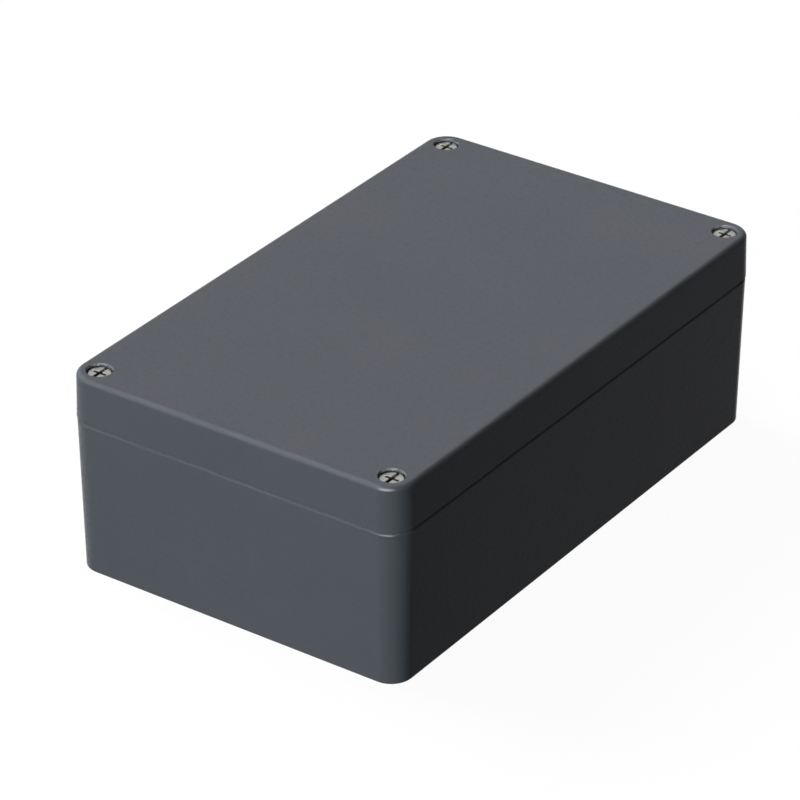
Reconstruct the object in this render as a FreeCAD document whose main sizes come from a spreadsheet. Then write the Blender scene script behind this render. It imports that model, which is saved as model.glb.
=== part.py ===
"""Die-cast aluminium wall enclosure: a deep base, a screwed lid, its seal and its captive screws.

The frame stands on the middle of the back face: +X runs along the length, +Y across the width and
+Z out of the wall, towards the lid. Sizes are millimetres and degrees.
"""
import FreeCAD, Part
import math
import os
import Sketcher

# Driving dimensions
SIZES = [
    ("length", 260, "lid, end to end at the seam"),
    ("width", 160, "lid, side to side at the seam"),
    ("height", 89, "back face to the top of the lid"),
    ("lid_height", 20.4, "seam to the top of the lid"),
    ("corner_radius", 11, "upright corners at the seam"),
    ("base_draft", 1.1, "slope of the base's outer walls"),
    ("lid_draft", 1.35, "slope of the lid's outer walls"),
    ("rim_step", 0.2, "how far the base's rim stands inside the lid's"),
    ("rim_chamfer", 0.9, "outer edge of the base's rim"),
    ("lid_edge_radius", 2.2, "upper edge of the lid"),
    ("skirt_chamfer", 0.4, "lower edge of the lid"),
    ("rim_width", 5.2, "wall at the seam"),
    ("floor_thickness", 4.5, "base's floor"),
    ("roof_thickness", 4, "lid's roof"),
    ("seal_corner_radius", 6, "corners of the seal's middle line"),
    ("tongue_width", 1.6, "tongue on the base's rim"),
    ("tongue_height", 1.5, "tongue above the seam"),
    ("groove_width", 2.8, "seal groove in the lid"),
    ("groove_depth", 3.5, "seal groove above the seam"),
    ("seal_side_clearance", 0.1, "gasket to the groove's sides"),
    ("seal_gap", 0.1, "gasket to the tongue before it is squeezed"),
    ("lid_screw_inset", 10, "lid screws, in from the lid's sides"),
    ("fixing_end_inset", 10, "wall fixings, in from the ends"),
    ("fixing_side_inset", 25, "wall fixings, in from the long sides"),
    ("fixing_diameter", 6.5, "wall fixing hole"),
    ("fixing_floor", 6, "metal under a wall fixing's head"),
    ("corner_margin", 6, "corner recess and fixing well, out from the centres"),
    ("well_radius", 3, "upright corners of recess and well"),
    ("corner_drop", 2, "corner recess below the seam"),
    ("thread_diameter", 6, "lid screw thread and its bore"),
    ("thread_clearance", 0.05, "thread to bore, each side"),
    ("thread_bore_depth", 20, "bore below the corner recess"),
    ("screw_length", 25, "lid screw under its head"),
    ("neck_diameter", 4.6, "lid screw's neck over its thread"),
    ("head_diameter", 9.4, "lid screw head"),
    ("head_height", 3.8, "lid screw head"),
    ("head_sink", 1.4, "lid screw head below the top of the lid"),
    ("counterbore_diameter", 11, "hole for the lid screw head"),
    ("screw_hole_diameter", 6.6, "hole for the lid screw's shank"),
    ("screw_web", 5, "metal under the lid screw head"),
    ("ring_recess_diameter", 10, "hollow under the web, where the ring rises"),
    ("ring_diameter", 8.8, "retaining ring"),
    ("ring_thickness", 1.5, "retaining ring"),
    ("ring_clearance", 0.05, "retaining ring to the neck, each side"),
    ("ring_gap", 0.3, "retaining ring to the corner recess"),
    ("cross_span", 6.4, "cross recess, tip to tip at its mouth"),
    ("cross_width", 1.2, "cross recess arms"),
    ("cross_depth", 2.8, "cross recess"),
    ("cross_end_span", 2.6, "cross recess, tip to tip at its end"),
    ("slot_width", 1.2, "slot right across the lid screw head"),
    ("slot_depth", 1.5, "slot right across the lid screw head"),
    ("boss_end_inset", 35, "mounting plate bosses, in from the ends"),
    ("boss_side_inset", 20, "mounting plate bosses, in from the long sides"),
    ("boss_diameter", 10, "mounting plate boss"),
    ("boss_height", 7, "mounting plate boss over the floor"),
    ("boss_bore", 4, "mounting plate thread"),
    ("boss_bore_depth", 8, "mounting plate thread"),
    ("earth_inset", 18, "earth terminal from the end wall's inner face"),
    ("earth_boss_width", 8, "earth boss, along the length"),
    ("earth_boss_length", 14, "earth boss, across the width"),
    ("earth_boss_height", 12, "earth boss over the floor"),
    ("earth_thread_diameter", 5, "earth screw thread and its bore"),
    ("earth_bore_depth", 12, "earth bore"),
    ("earth_screw_length", 12, "earth screw under its head"),
    ("earth_head_diameter", 9.5, "earth screw head"),
    ("earth_head_height", 3.7, "earth screw head"),
    ("earth_cross_span", 5, "earth screw recess, tip to tip"),
    ("earth_cross_depth", 2.2, "earth screw recess"),
    ("washer_diameter", 9.2, "spring washer"),
    ("washer_thickness", 1.2, "spring washer"),
    ("washer_split", 14, "angle left open in the spring washer"),
    ("clamp_length", 13, "wire clamp, across the width"),
    ("clamp_thickness", 1.2, "wire clamp sheet"),
    ("clamp_lip", 3, "wire clamp's lips below its plate"),
    ("clamp_side_gap", 0.4, "wire clamp's lips to the earth boss"),
    ("clamp_bend_radius", 0.8, "wire clamp's outer bends"),
]

# Places worked out from the sizes, as expressions
SEAM = "(Sizes.height - Sizes.lid_height)"
SEAT = "(Sizes.height - Sizes.head_sink - Sizes.head_height)"
CORNER_PAD = f"({SEAM} - Sizes.corner_drop)"
SEAL_X = "(Sizes.length / 2 - Sizes.rim_width / 2)"
SEAL_Y = "(Sizes.width / 2 - Sizes.rim_width / 2)"
SCREW_X = "(Sizes.length / 2 - Sizes.lid_screw_inset)"
SCREW_Y = "(Sizes.width / 2 - Sizes.lid_screw_inset)"
FIXING_X = "(Sizes.length / 2 - Sizes.fixing_end_inset)"
FIXING_Y = "(Sizes.width / 2 - Sizes.fixing_side_inset)"
BOSS_X = "(Sizes.length / 2 - Sizes.boss_end_inset)"
BOSS_Y = "(Sizes.width / 2 - Sizes.boss_side_inset)"
CORNER_X = f"(min({FIXING_X}; {SCREW_X}) - Sizes.corner_margin)"
CORNER_Y = f"(min({FIXING_Y}; {SCREW_Y}) - Sizes.corner_margin)"
NOTCH_X = f"({CORNER_X} - Sizes.rim_width / 2)"
NOTCH_Y = f"({CORNER_Y} - Sizes.rim_width / 2)"
EARTH_X = "(Sizes.length / 2 - Sizes.rim_width - Sizes.earth_inset)"
EARTH_TOP = "(Sizes.floor_thickness + Sizes.earth_boss_height)"
RING_REST = f"({CORNER_PAD} + Sizes.ring_gap)"

UP = FreeCAD.Vector(0, 0, 1)
SIDES = ((1, 1), (-1, 1), (-1, -1), (1, -1))

doc = FreeCAD.newDocument("Enclosure")
sheet = doc.addObject("Spreadsheet::Sheet", "Sizes")
for row, (alias, number, meaning) in enumerate(SIZES, 1):
    sheet.set(f"A{row}", meaning)
    sheet.set(f"B{row}", str(number))
    sheet.setAlias(f"B{row}", alias)
doc.recompute()


def value(expression):
    """The number that an expression on the sheet gives now."""
    return float(sheet.evalExpression(expression))


def half(name):
    """Half of a named size, as an expression."""
    return f"Sizes.{name} / 2"


def new_body(label):
    """An empty body for one piece."""
    body = doc.addObject("PartDesign::Body", label)
    body.Label = label
    return body


def new_sketch(body, name, plane="XY_Plane", level="0"):
    """A sketch on one of the body's own planes, raised along that plane's normal."""
    sketch = body.newObject("Sketcher::SketchObject", name)
    origin_plane = next(f for f in body.Origin.OriginFeatures if f.Role == plane)
    sketch.AttachmentSupport = [(origin_plane, "")]
    sketch.MapMode = "FlatFace"
    sketch.setExpression("AttachmentOffset.Base.z", level)
    return sketch


def dimension(sketch, kind, elements, expression):
    """Add a dimension that follows an expression."""
    index = sketch.addConstraint(Sketcher.Constraint(kind, *elements, value(expression)))
    sketch.setExpression(f"Constraints[{index}]", expression)


def place_point(sketch, element, x, y):
    """Fix a point by its distances from the sketch's origin. An exact "0" puts it on the axis."""
    origin = (-1, 1)
    upright_axis = -2
    level_axis = -1
    if x == "0":
        sketch.addConstraint(Sketcher.Constraint("PointOnObject", *element, upright_axis))
    else:
        dimension(sketch, "DistanceX", (*origin, *element), x)
    if y == "0":
        sketch.addConstraint(Sketcher.Constraint("PointOnObject", *element, level_axis))
    else:
        dimension(sketch, "DistanceY", (*origin, *element), y)


def add_circles(sketch, centres, diameter):
    """Circles of one diameter on the given centres."""
    for x, y in centres:
        circle = Part.Circle(FreeCAD.Vector(value(x), value(y), 0), UP, value(diameter) / 2)
        index = sketch.addGeometry(circle, False)
        place_point(sketch, (index, 3), x, y)
        dimension(sketch, "Diameter", (index,), diameter)


def add_polygon(sketch, corners):
    """A closed outline of straight lines through the given corners."""
    points = [FreeCAD.Vector(value(x), value(y), 0) for x, y in corners]
    lines = []
    for start, end in zip(points, points[1:] + points[:1]):
        lines.append(sketch.addGeometry(Part.LineSegment(start, end), False))
    for before, line in zip(lines[-1:] + lines[:-1], lines):
        sketch.addConstraint(Sketcher.Constraint("Coincident", before, 2, line, 1))
    for line, (x, y) in zip(lines, corners):
        place_point(sketch, (line, 1), x, y)


def add_rounded(sketch, corners, outward_radius, inward_radius=None):
    """A closed outline of level and upright lines with rounded corners, taken anticlockwise.

    Corners that point out of the outline and corners that point into it have their own radius.
    """
    points = [FreeCAD.Vector(value(x), value(y), 0) for x, y in corners]
    count = len(points)
    ways = [(points[(i + 1) % count] - points[i]).normalize() for i in range(count)]
    turns = [ways[i - 1].cross(ways[i]).z for i in range(count)]
    radii = [outward_radius if turn > 0 else inward_radius for turn in turns]
    lines = []
    for i in range(count):
        after = (i + 1) % count
        start = points[i] + ways[i] * value(radii[i])
        end = points[after] - ways[i] * value(radii[after])
        lines.append(sketch.addGeometry(Part.LineSegment(start, end), False))
    for i in range(count):
        radius = value(radii[i])
        arrive = points[i] - ways[i - 1] * radius
        leave = points[i] + ways[i] * radius
        centre = arrive + ways[i] * radius
        first, last = (arrive, leave) if turns[i] > 0 else (leave, arrive)
        first_angle = math.atan2(first.y - centre.y, first.x - centre.x)
        last_angle = math.atan2(last.y - centre.y, last.x - centre.x)
        if last_angle < first_angle:
            last_angle += 2 * math.pi
        arc = Part.ArcOfCircle(Part.Circle(centre, UP, radius), first_angle, last_angle)
        arc_index = sketch.addGeometry(arc, False)
        arrive_end, leave_end = (1, 2) if turns[i] > 0 else (2, 1)
        sketch.addConstraint(Sketcher.Constraint("Tangent", lines[i - 1], 2, arc_index, arrive_end))
        sketch.addConstraint(Sketcher.Constraint("Tangent", arc_index, leave_end, lines[i], 1))
        dimension(sketch, "Radius", (arc_index,), radii[i])
    for line, way, (x, y) in zip(lines, ways, corners):
        if abs(way.x) > abs(way.y):
            sketch.addConstraint(Sketcher.Constraint("Horizontal", line))
            dimension(sketch, "DistanceY", (-1, 1, line, 1), y)
        else:
            sketch.addConstraint(Sketcher.Constraint("Vertical", line))
            dimension(sketch, "DistanceX", (-1, 1, line, 1), x)


def rectangle(low_x, high_x, low_y, high_y):
    """The corners of a rectangle, anticlockwise."""
    return [(low_x, low_y), (high_x, low_y), (high_x, high_y), (low_x, high_y)]


def middle_rectangle(half_x, half_y):
    """The corners of a rectangle about the origin, anticlockwise."""
    return rectangle(f"-({half_x})", half_x, f"-({half_y})", half_y)


def add_seal_outline(sketch, grow):
    """The seal's middle line, moved outwards by grow. It passes inside the four screw corners."""
    far_x, far_y = f"{SEAL_X} + ({grow})", f"{SEAL_Y} + ({grow})"
    near_x, near_y = f"{NOTCH_X} + ({grow})", f"{NOTCH_Y} + ({grow})"
    quarter = [(far_x, near_y), (near_x, near_y), (near_x, far_y)]
    corners = []
    for sign_x, sign_y in SIDES:
        points = quarter if sign_x == sign_y else quarter[::-1]
        corners += [(signed(sign_x, x), signed(sign_y, y)) for x, y in points]
    add_rounded(
        sketch,
        corners,
        f"Sizes.seal_corner_radius + ({grow})",
        f"Sizes.seal_corner_radius - ({grow})",
    )


def signed(sign, expression):
    """The expression on the positive or the negative side."""
    return expression if sign > 0 else f"-({expression})"


def four_places(x, y):
    """The four corners of a hole pattern about the origin."""
    return [(signed(a, x), signed(b, y)) for a, b in SIDES]


def pad(body, sketch, length, taper="0", downwards=False):
    """Raise a sketch into solid. A positive taper widens it on the way."""
    feature = body.newObject("PartDesign::Pad", f"{sketch.Name}Pad")
    feature.Profile = sketch
    feature.setExpression("Length", length)
    feature.setExpression("TaperAngle", taper)
    feature.Reversed = downwards
    sketch.Visibility = False
    doc.recompute()
    return feature


def pocket(body, sketch, depth, upwards=False, both_ways=False):
    """Cut a sketch into the solid, to one side or half to each, and make sure that it did cut."""
    before = body.Tip.Shape.Volume
    feature = body.newObject("PartDesign::Pocket", f"{sketch.Name}Pocket")
    feature.Profile = sketch
    feature.setExpression("Length", depth)
    feature.Reversed = upwards
    feature.SideType = "Symmetric" if both_ways else "One side"
    sketch.Visibility = False
    doc.recompute()
    check_cut(feature, before)
    return feature


def check_cut(feature, before):
    """Stop if a cutting feature removed nothing."""
    if feature.Shape.isNull() or feature.Shape.Volume >= before:
        raise RuntimeError(f"{feature.Name} cuts nothing")


def hole(body, sketch, diameter, depth=None, cut_diameter=None, cut_depth=None):
    """Bore the circles of a sketch downwards, right through or blind, with an optional counterbore."""
    doc.recompute()
    before = body.Tip.Shape.Volume
    feature = body.newObject("PartDesign::Hole", f"{sketch.Name}Hole")
    feature.Profile = sketch
    feature.Threaded = False
    feature.ThreadType = "None"
    feature.setExpression("Diameter", diameter)
    if depth is None:
        feature.DepthType = "ThroughAll"
    else:
        feature.DepthType = "Dimension"
        feature.setExpression("Depth", depth)
        feature.DrillPoint = "Flat"
    if cut_diameter is not None:
        feature.HoleCutType = "Counterbore"
        feature.HoleCutCustomValues = True
        feature.setExpression("HoleCutDiameter", cut_diameter)
        feature.setExpression("HoleCutDepth", cut_depth)
    sketch.Visibility = False
    doc.recompute()
    check_cut(feature, before)
    return feature


def fillet(body, name, radius, chosen):
    """Round those edges of the body's last feature that the test picks."""
    return treat_edges(body, "Fillet", name, "Radius", radius, chosen)


def chamfer(body, name, size, chosen):
    """Bevel those edges of the body's last feature that the test picks."""
    return treat_edges(body, "Chamfer", name, "Size", size, chosen)


def treat_edges(body, kind, name, measure, size, chosen):
    """Add a fillet or a chamfer on the picked edges."""
    base = body.Tip
    picked = [f"Edge{i}" for i, edge in enumerate(base.Shape.Edges, 1) if chosen(edge)]
    feature = body.newObject(f"PartDesign::{kind}", name)
    feature.Base = (base, picked)
    feature.setExpression(measure, size)
    doc.recompute()
    return feature


def at_level(level):
    """A test for edges that lie at one height."""
    height = value(level)
    return lambda edge: all(abs(v.Point.z - height) < 0.001 for v in edge.Vertexes)


def revolve(body, sketch, angle=360):
    """Turn a profile about the sketch's upright axis."""
    feature = body.newObject("PartDesign::Revolution", f"{sketch.Name}Turn")
    feature.Profile = sketch
    feature.ReferenceAxis = (sketch, ["V_Axis"])
    feature.Angle = angle
    sketch.Visibility = False
    doc.recompute()
    return feature


def place(body, x="0", y="0", z="0"):
    """Set a body down at a place that follows the sheet."""
    for axis, expression in zip("xyz", (x, y, z)):
        body.setExpression(f"Placement.Base.{axis}", expression)
    doc.recompute()


# Base


def make_base():
    """The deep half: walls, screw corners, seal tongue, wall fixings, bosses and earth boss."""
    body = new_body("base")
    outer = new_sketch(body, "BaseOutline", level=SEAM)
    add_rounded(
        outer,
        middle_rectangle("Sizes.length / 2 - Sizes.rim_step", "Sizes.width / 2 - Sizes.rim_step"),
        "Sizes.corner_radius - Sizes.rim_step",
    )
    pad(body, outer, SEAM, "-Sizes.base_draft", downwards=True)
    chamfer(body, "BaseRim", "Sizes.rim_chamfer", at_level(SEAM))

    cavity = new_sketch(body, "BaseCavity", level=SEAM)
    add_seal_outline(cavity, "-Sizes.rim_width / 2")
    pocket(body, cavity, f"{SEAM} - Sizes.floor_thickness")

    tongue = new_sketch(body, "Tongue", level=SEAM)
    add_seal_outline(tongue, "Sizes.tongue_width / 2")
    add_seal_outline(tongue, "-Sizes.tongue_width / 2")
    pad(body, tongue, "Sizes.tongue_height")

    add_corner_recesses(body)
    add_floor_bosses(body)
    return body


def add_corner_recesses(body):
    """Outside the seal, each corner has a shallow recess with a thread and a deep fixing well."""
    recess = new_sketch(body, "CornerRecess", level=SEAM)
    for sign_x, sign_y in SIDES:
        add_corner_outline(recess, sign_x, sign_y, SCREW_Y)
    pocket(body, recess, "Sizes.corner_drop")

    threads = new_sketch(body, "LidThreads", level=CORNER_PAD)
    add_circles(threads, four_places(SCREW_X, SCREW_Y), "Sizes.thread_diameter")
    hole(body, threads, "Sizes.thread_diameter", "Sizes.thread_bore_depth")

    wells = new_sketch(body, "FixingWells", level=CORNER_PAD)
    for sign_x, sign_y in SIDES:
        add_corner_outline(wells, sign_x, sign_y, FIXING_Y)
    pocket(body, wells, f"{CORNER_PAD} - Sizes.fixing_floor")

    fixings = new_sketch(body, "WallFixings", level="Sizes.fixing_floor")
    add_circles(fixings, four_places(FIXING_X, FIXING_Y), "Sizes.fixing_diameter")
    hole(body, fixings, "Sizes.fixing_diameter")


def add_corner_outline(sketch, sign_x, sign_y, far_centre):
    """A rounded rectangle in one corner, from the wall fixing out to the given centre across."""
    near_x, near_y = signed(sign_x, CORNER_X), signed(sign_y, CORNER_Y)
    far_x = signed(sign_x, f"{SCREW_X} + Sizes.corner_margin")
    far_y = signed(sign_y, f"{far_centre} + Sizes.corner_margin")
    low_x, high_x = (near_x, far_x) if sign_x > 0 else (far_x, near_x)
    low_y, high_y = (near_y, far_y) if sign_y > 0 else (far_y, near_y)
    add_rounded(sketch, rectangle(low_x, high_x, low_y, high_y), "Sizes.well_radius")


def add_floor_bosses(body):
    """Four threaded bosses for a mounting plate, and the earth terminal's block."""
    bosses = new_sketch(body, "PlateBosses", level="Sizes.floor_thickness + Sizes.boss_height")
    add_circles(bosses, four_places(BOSS_X, BOSS_Y), "Sizes.boss_diameter")
    pad(body, bosses, "Sizes.boss_height", downwards=True)

    bores = new_sketch(body, "PlateBores", level="Sizes.floor_thickness + Sizes.boss_height")
    add_circles(bores, four_places(BOSS_X, BOSS_Y), "Sizes.boss_bore")
    hole(body, bores, "Sizes.boss_bore", "Sizes.boss_bore_depth")

    block = new_sketch(body, "EarthBlock", level=EARTH_TOP)
    add_polygon(
        block,
        rectangle(
            f"{EARTH_X} - {half('earth_boss_width')}",
            f"{EARTH_X} + {half('earth_boss_width')}",
            f"-({half('earth_boss_length')})",
            half("earth_boss_length"),
        ),
    )
    pad(body, block, "Sizes.earth_boss_height", downwards=True)

    bore = new_sketch(body, "EarthBore", level=EARTH_TOP)
    add_circles(bore, [(EARTH_X, "0")], "Sizes.earth_thread_diameter")
    hole(body, bore, "Sizes.earth_thread_diameter", "Sizes.earth_bore_depth")


# Lid


def make_lid():
    """The screwed cover: hollow roof, seal groove and stepped holes for the captive screws."""
    body = new_body("lid")
    outer = new_sketch(body, "LidOutline", level=SEAM)
    add_rounded(
        outer, middle_rectangle("Sizes.length / 2", "Sizes.width / 2"), "Sizes.corner_radius"
    )
    pad(body, outer, "Sizes.lid_height", "-Sizes.lid_draft")
    fillet(body, "LidEdge", "Sizes.lid_edge_radius", at_level("Sizes.height"))
    chamfer(body, "LidSkirt", "Sizes.skirt_chamfer", at_level(SEAM))

    hollow = new_sketch(body, "LidHollow", level=SEAM)
    add_seal_outline(hollow, "-Sizes.rim_width / 2")
    pocket(body, hollow, "Sizes.lid_height - Sizes.roof_thickness", upwards=True)

    groove = new_sketch(body, "SealGroove", level=SEAM)
    add_seal_outline(groove, "Sizes.groove_width / 2")
    add_seal_outline(groove, "-Sizes.groove_width / 2")
    pocket(body, groove, "Sizes.groove_depth", upwards=True)

    heads = new_sketch(body, "ScrewHoles", level="Sizes.height")
    add_circles(heads, four_places(SCREW_X, SCREW_Y), "Sizes.screw_hole_diameter")
    hole(
        body,
        heads,
        "Sizes.screw_hole_diameter",
        cut_diameter="Sizes.counterbore_diameter",
        cut_depth="Sizes.head_sink + Sizes.head_height",
    )

    ring_space = new_sketch(body, "RingRecess", level=SEAM)
    add_circles(ring_space, four_places(SCREW_X, SCREW_Y), "Sizes.ring_recess_diameter")
    pocket(body, ring_space, f"{SEAT} - Sizes.screw_web - {SEAM}", upwards=True)
    return body


def make_gasket():
    """The seal that lies in the lid's groove, over the tongue."""
    body = new_body("lid_gasket")
    ring = new_sketch(body, "GasketRing")
    side = "(Sizes.groove_width / 2 - Sizes.seal_side_clearance)"
    add_seal_outline(ring, side)
    add_seal_outline(ring, f"-{side}")
    pad(body, ring, "Sizes.groove_depth - Sizes.tongue_height - Sizes.seal_gap")
    place(body, z=f"{SEAM} + Sizes.tongue_height + Sizes.seal_gap")
    return body


# Screws, rings and earth terminal


def add_cross(body, top, depth, span):
    """A cross recess in the top of a head: two crossing slots that narrow towards their ends."""
    mouth, end = f"{span} / 2", half("cross_end_span")
    for plane in ("XZ_Plane", "YZ_Plane"):
        slot = new_sketch(body, f"Cross{plane[:2]}", plane=plane)
        add_polygon(
            slot,
            [(f"-({end})", f"{top} - {depth}"), (end, f"{top} - {depth}")]
            + [(mouth, top), (f"-({mouth})", top)],
        )
        pocket(body, slot, "Sizes.cross_width", both_ways=True)


def make_lid_screw(label, x, y):
    """A captive lid screw: cheese head with a slot and a cross recess, thin neck, threaded end."""
    body = new_body(label)
    profile = new_sketch(body, "ScrewProfile", plane="XZ_Plane")
    head, neck = half("head_diameter"), half("neck_diameter")
    thread = f"{half('thread_diameter')} - Sizes.thread_clearance"
    neck_end = f"{RING_REST} - {SEAT}"
    add_polygon(
        profile,
        [
            ("0", "Sizes.head_height"),
            ("0", "-Sizes.screw_length"),
            (thread, "-Sizes.screw_length"),
            (thread, neck_end),
            (neck, neck_end),
            (neck, "0"),
            (head, "0"),
            (head, "Sizes.head_height"),
        ],
    )
    revolve(body, profile)
    add_cross(body, "Sizes.head_height", "Sizes.cross_depth", "Sizes.cross_span")
    slot = new_sketch(body, "HeadSlot", plane="XZ_Plane")
    reach, bottom = f"{head} + Sizes.slot_width", "Sizes.head_height - Sizes.slot_depth"
    add_polygon(
        slot,
        [(f"-({reach})", bottom), (reach, bottom)]
        + [(reach, "Sizes.head_height"), (f"-({reach})", "Sizes.head_height")],
    )
    pocket(body, slot, "Sizes.slot_width", both_ways=True)
    place(body, x, y, SEAT)
    return body


def make_retaining_ring(label, x, y):
    """The ring on a lid screw's neck that keeps the screw in the lid."""
    body = new_body(label)
    profile = new_sketch(body, "RingProfile", plane="XZ_Plane")
    inner = f"{half('neck_diameter')} + Sizes.ring_clearance"
    add_polygon(
        profile, rectangle(inner, half("ring_diameter"), "0", "Sizes.ring_thickness")
    )
    revolve(body, profile)
    place(body, x, y, RING_REST)
    return body


def make_earth_clamp():
    """The wire clamp: a plate bent down on both sides of the earth block."""
    body = new_body("earth_clamp")
    section = new_sketch(body, "ClampSection", plane="XZ_Plane")
    inner = f"({half('earth_boss_width')} + Sizes.clamp_side_gap)"
    outer = f"({inner} + Sizes.clamp_thickness)"
    add_polygon(
        section,
        [
            (f"-{outer}", "-Sizes.clamp_lip"),
            (f"-{inner}", "-Sizes.clamp_lip"),
            (f"-{inner}", "0"),
            (inner, "0"),
            (inner, "-Sizes.clamp_lip"),
            (outer, "-Sizes.clamp_lip"),
            (outer, "Sizes.clamp_thickness"),
            (f"-{outer}", "Sizes.clamp_thickness"),
        ],
    )
    plate = pad(body, section, "Sizes.clamp_length")
    plate.SideType = "Symmetric"
    doc.recompute()
    fillet(body, "ClampBends", "Sizes.clamp_bend_radius", is_clamp_bend)
    bore = new_sketch(body, "ClampBore", level="Sizes.clamp_thickness")
    add_circles(bore, [("0", "0")], "Sizes.earth_thread_diameter + 2 * Sizes.clamp_side_gap")
    hole(body, bore, "Sizes.earth_thread_diameter + 2 * Sizes.clamp_side_gap")
    place(body, EARTH_X, "0", EARTH_TOP)
    return body


def is_clamp_bend(edge):
    """A test for the clamp's two upper edges along its length."""
    start, end = (v.Point for v in edge.Vertexes)
    along = abs(end.y - start.y) > value("Sizes.clamp_length") / 2
    return along and abs(start.z - value("Sizes.clamp_thickness")) < 0.001


def make_earth_washer():
    """The split spring washer under the earth screw's head."""
    body = new_body("earth_spring_washer")
    profile = new_sketch(body, "WasherProfile", plane="XZ_Plane")
    inner = f"{half('earth_thread_diameter')} + Sizes.thread_clearance"
    add_polygon(
        profile, rectangle(inner, half("washer_diameter"), "0", "Sizes.washer_thickness")
    )
    turn = revolve(body, profile)
    turn.setExpression("Angle", "360 - Sizes.washer_split")
    place(body, EARTH_X, "0", f"{EARTH_TOP} + Sizes.clamp_thickness")
    return body


def make_earth_screw():
    """The earth terminal's screw, with a cross recess."""
    body = new_body("earth_screw")
    profile = new_sketch(body, "EarthScrewProfile", plane="XZ_Plane")
    head = half("earth_head_diameter")
    thread = f"{half('earth_thread_diameter')} - Sizes.thread_clearance"
    add_polygon(
        profile,
        [
            ("0", "Sizes.earth_head_height"),
            ("0", "-Sizes.earth_screw_length"),
            (thread, "-Sizes.earth_screw_length"),
            (thread, "0"),
            (head, "0"),
            (head, "Sizes.earth_head_height"),
        ],
    )
    revolve(body, profile)
    add_cross(body, "Sizes.earth_head_height", "Sizes.earth_cross_depth", "Sizes.earth_cross_span")
    place(body, EARTH_X, "0", f"{EARTH_TOP} + Sizes.clamp_thickness + Sizes.washer_thickness")
    return body


pieces = [make_base(), make_lid(), make_gasket()]
for number, (x, y) in enumerate(four_places(SCREW_X, SCREW_Y), 1):
    pieces.append(make_lid_screw(f"lid_screw_{number}", x, y))
    pieces.append(make_retaining_ring(f"retaining_ring_{number}", x, y))
pieces += [make_earth_clamp(), make_earth_washer(), make_earth_screw()]

doc.recompute()
for item in doc.Objects:
    if "Invalid" in item.State or "Error" in item.State:
        raise RuntimeError(f"{item.Label} failed: {item.State}")
for piece in pieces:
    if piece.Shape.isNull() or not piece.Shape.isValid() or len(piece.Shape.Solids) != 1:
        raise RuntimeError(f"{piece.Label} is not one valid solid")

os.makedirs("parts", exist_ok=True)
for piece in pieces:
    piece.Shape.exportStep(os.path.join("parts", f"{piece.Label}.step"))
    print(f"{piece.Label}: {piece.Shape.Volume / 1000:.2f} cm3, {len(piece.Shape.Faces)} faces")
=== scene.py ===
"""Looks of a powder-coated die-cast aluminium enclosure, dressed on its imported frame.

The frame gives every place: +X along the length, +Y across the width, +Z from the wall to the lid.
Lengths below are millimetres, turned to metres by MM where they reach Blender.
"""
import math

import bmesh
import bpy
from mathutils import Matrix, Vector


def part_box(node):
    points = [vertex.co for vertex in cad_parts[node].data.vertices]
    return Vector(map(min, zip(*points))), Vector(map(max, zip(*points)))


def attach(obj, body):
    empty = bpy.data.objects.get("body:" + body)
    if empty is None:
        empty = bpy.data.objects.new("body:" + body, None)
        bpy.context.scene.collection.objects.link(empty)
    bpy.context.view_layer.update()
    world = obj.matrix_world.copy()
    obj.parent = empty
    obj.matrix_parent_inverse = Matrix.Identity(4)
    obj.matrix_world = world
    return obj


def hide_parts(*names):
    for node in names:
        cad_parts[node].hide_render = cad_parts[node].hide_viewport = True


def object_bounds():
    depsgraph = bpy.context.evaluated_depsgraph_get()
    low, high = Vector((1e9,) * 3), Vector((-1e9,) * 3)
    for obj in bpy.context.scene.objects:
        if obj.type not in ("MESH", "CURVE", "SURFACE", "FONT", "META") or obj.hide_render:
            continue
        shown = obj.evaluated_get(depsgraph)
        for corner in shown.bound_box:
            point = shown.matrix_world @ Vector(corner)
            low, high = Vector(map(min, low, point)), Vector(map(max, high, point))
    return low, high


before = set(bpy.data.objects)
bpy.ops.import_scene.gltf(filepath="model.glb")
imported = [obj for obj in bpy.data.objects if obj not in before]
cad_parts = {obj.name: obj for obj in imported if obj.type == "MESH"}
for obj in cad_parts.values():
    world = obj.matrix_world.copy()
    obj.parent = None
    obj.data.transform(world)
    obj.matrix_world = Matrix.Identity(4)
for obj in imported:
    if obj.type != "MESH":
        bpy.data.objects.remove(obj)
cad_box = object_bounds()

MM = 0.001
SCREWS = (1, 2, 3, 4)

# The camera as the photograph has it
AZIMUTH = -55.0
ELEVATION = 30.0
VIEW_DISTANCE = 1804.3
VIEW_TARGET = (-9.42, 3.64, 45.0)
LENS = 199.5
SENSOR = 36.0
CLIP_END = 20.0  # metres

# Studio: the world's and the floor's light on the object, the share of the floor's colour that
# takes the shadow and the light that this share gets from the lamps, and the floor's place
FILL = 0.055
FLOOR_BOUNCE = 0.03
SHADOW_SHARE = 0.06
FLOOR_LIGHT = 0.95
FLOOR_SIZE = 12.0  # metres
FLOOR_DROP = 0.02

# Lamps: direction, strength, width in degrees and colour. A low key at the left, a soft box
# behind and a weak one overhead light the faces. White cards show only in the gloss of edges
# and steel.
LAMPS = {
    "key_softbox": ((-0.975, 0.075, 0.20), 2.4, 20, "F6FFFF"),
    "rear_softbox": ((0.05, 0.80, 0.60), 3.25, 36, "FFFDFC"),
    "overhead_softbox": ((0.03, 0.12, 0.99), 0.72, 40, "FFFFFF"),
}
CARDS = {
    "corner_card": ((-0.91, -0.22, 0.36), 100, 52, "FFFFFF"),
    "left_card": ((-0.86, 0.48, 0.10), 5, 34, "FFFFFF"),
    "upper_card": ((-0.50, 0.42, 0.75), 5, 44, "FFFFFF"),
}

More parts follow.
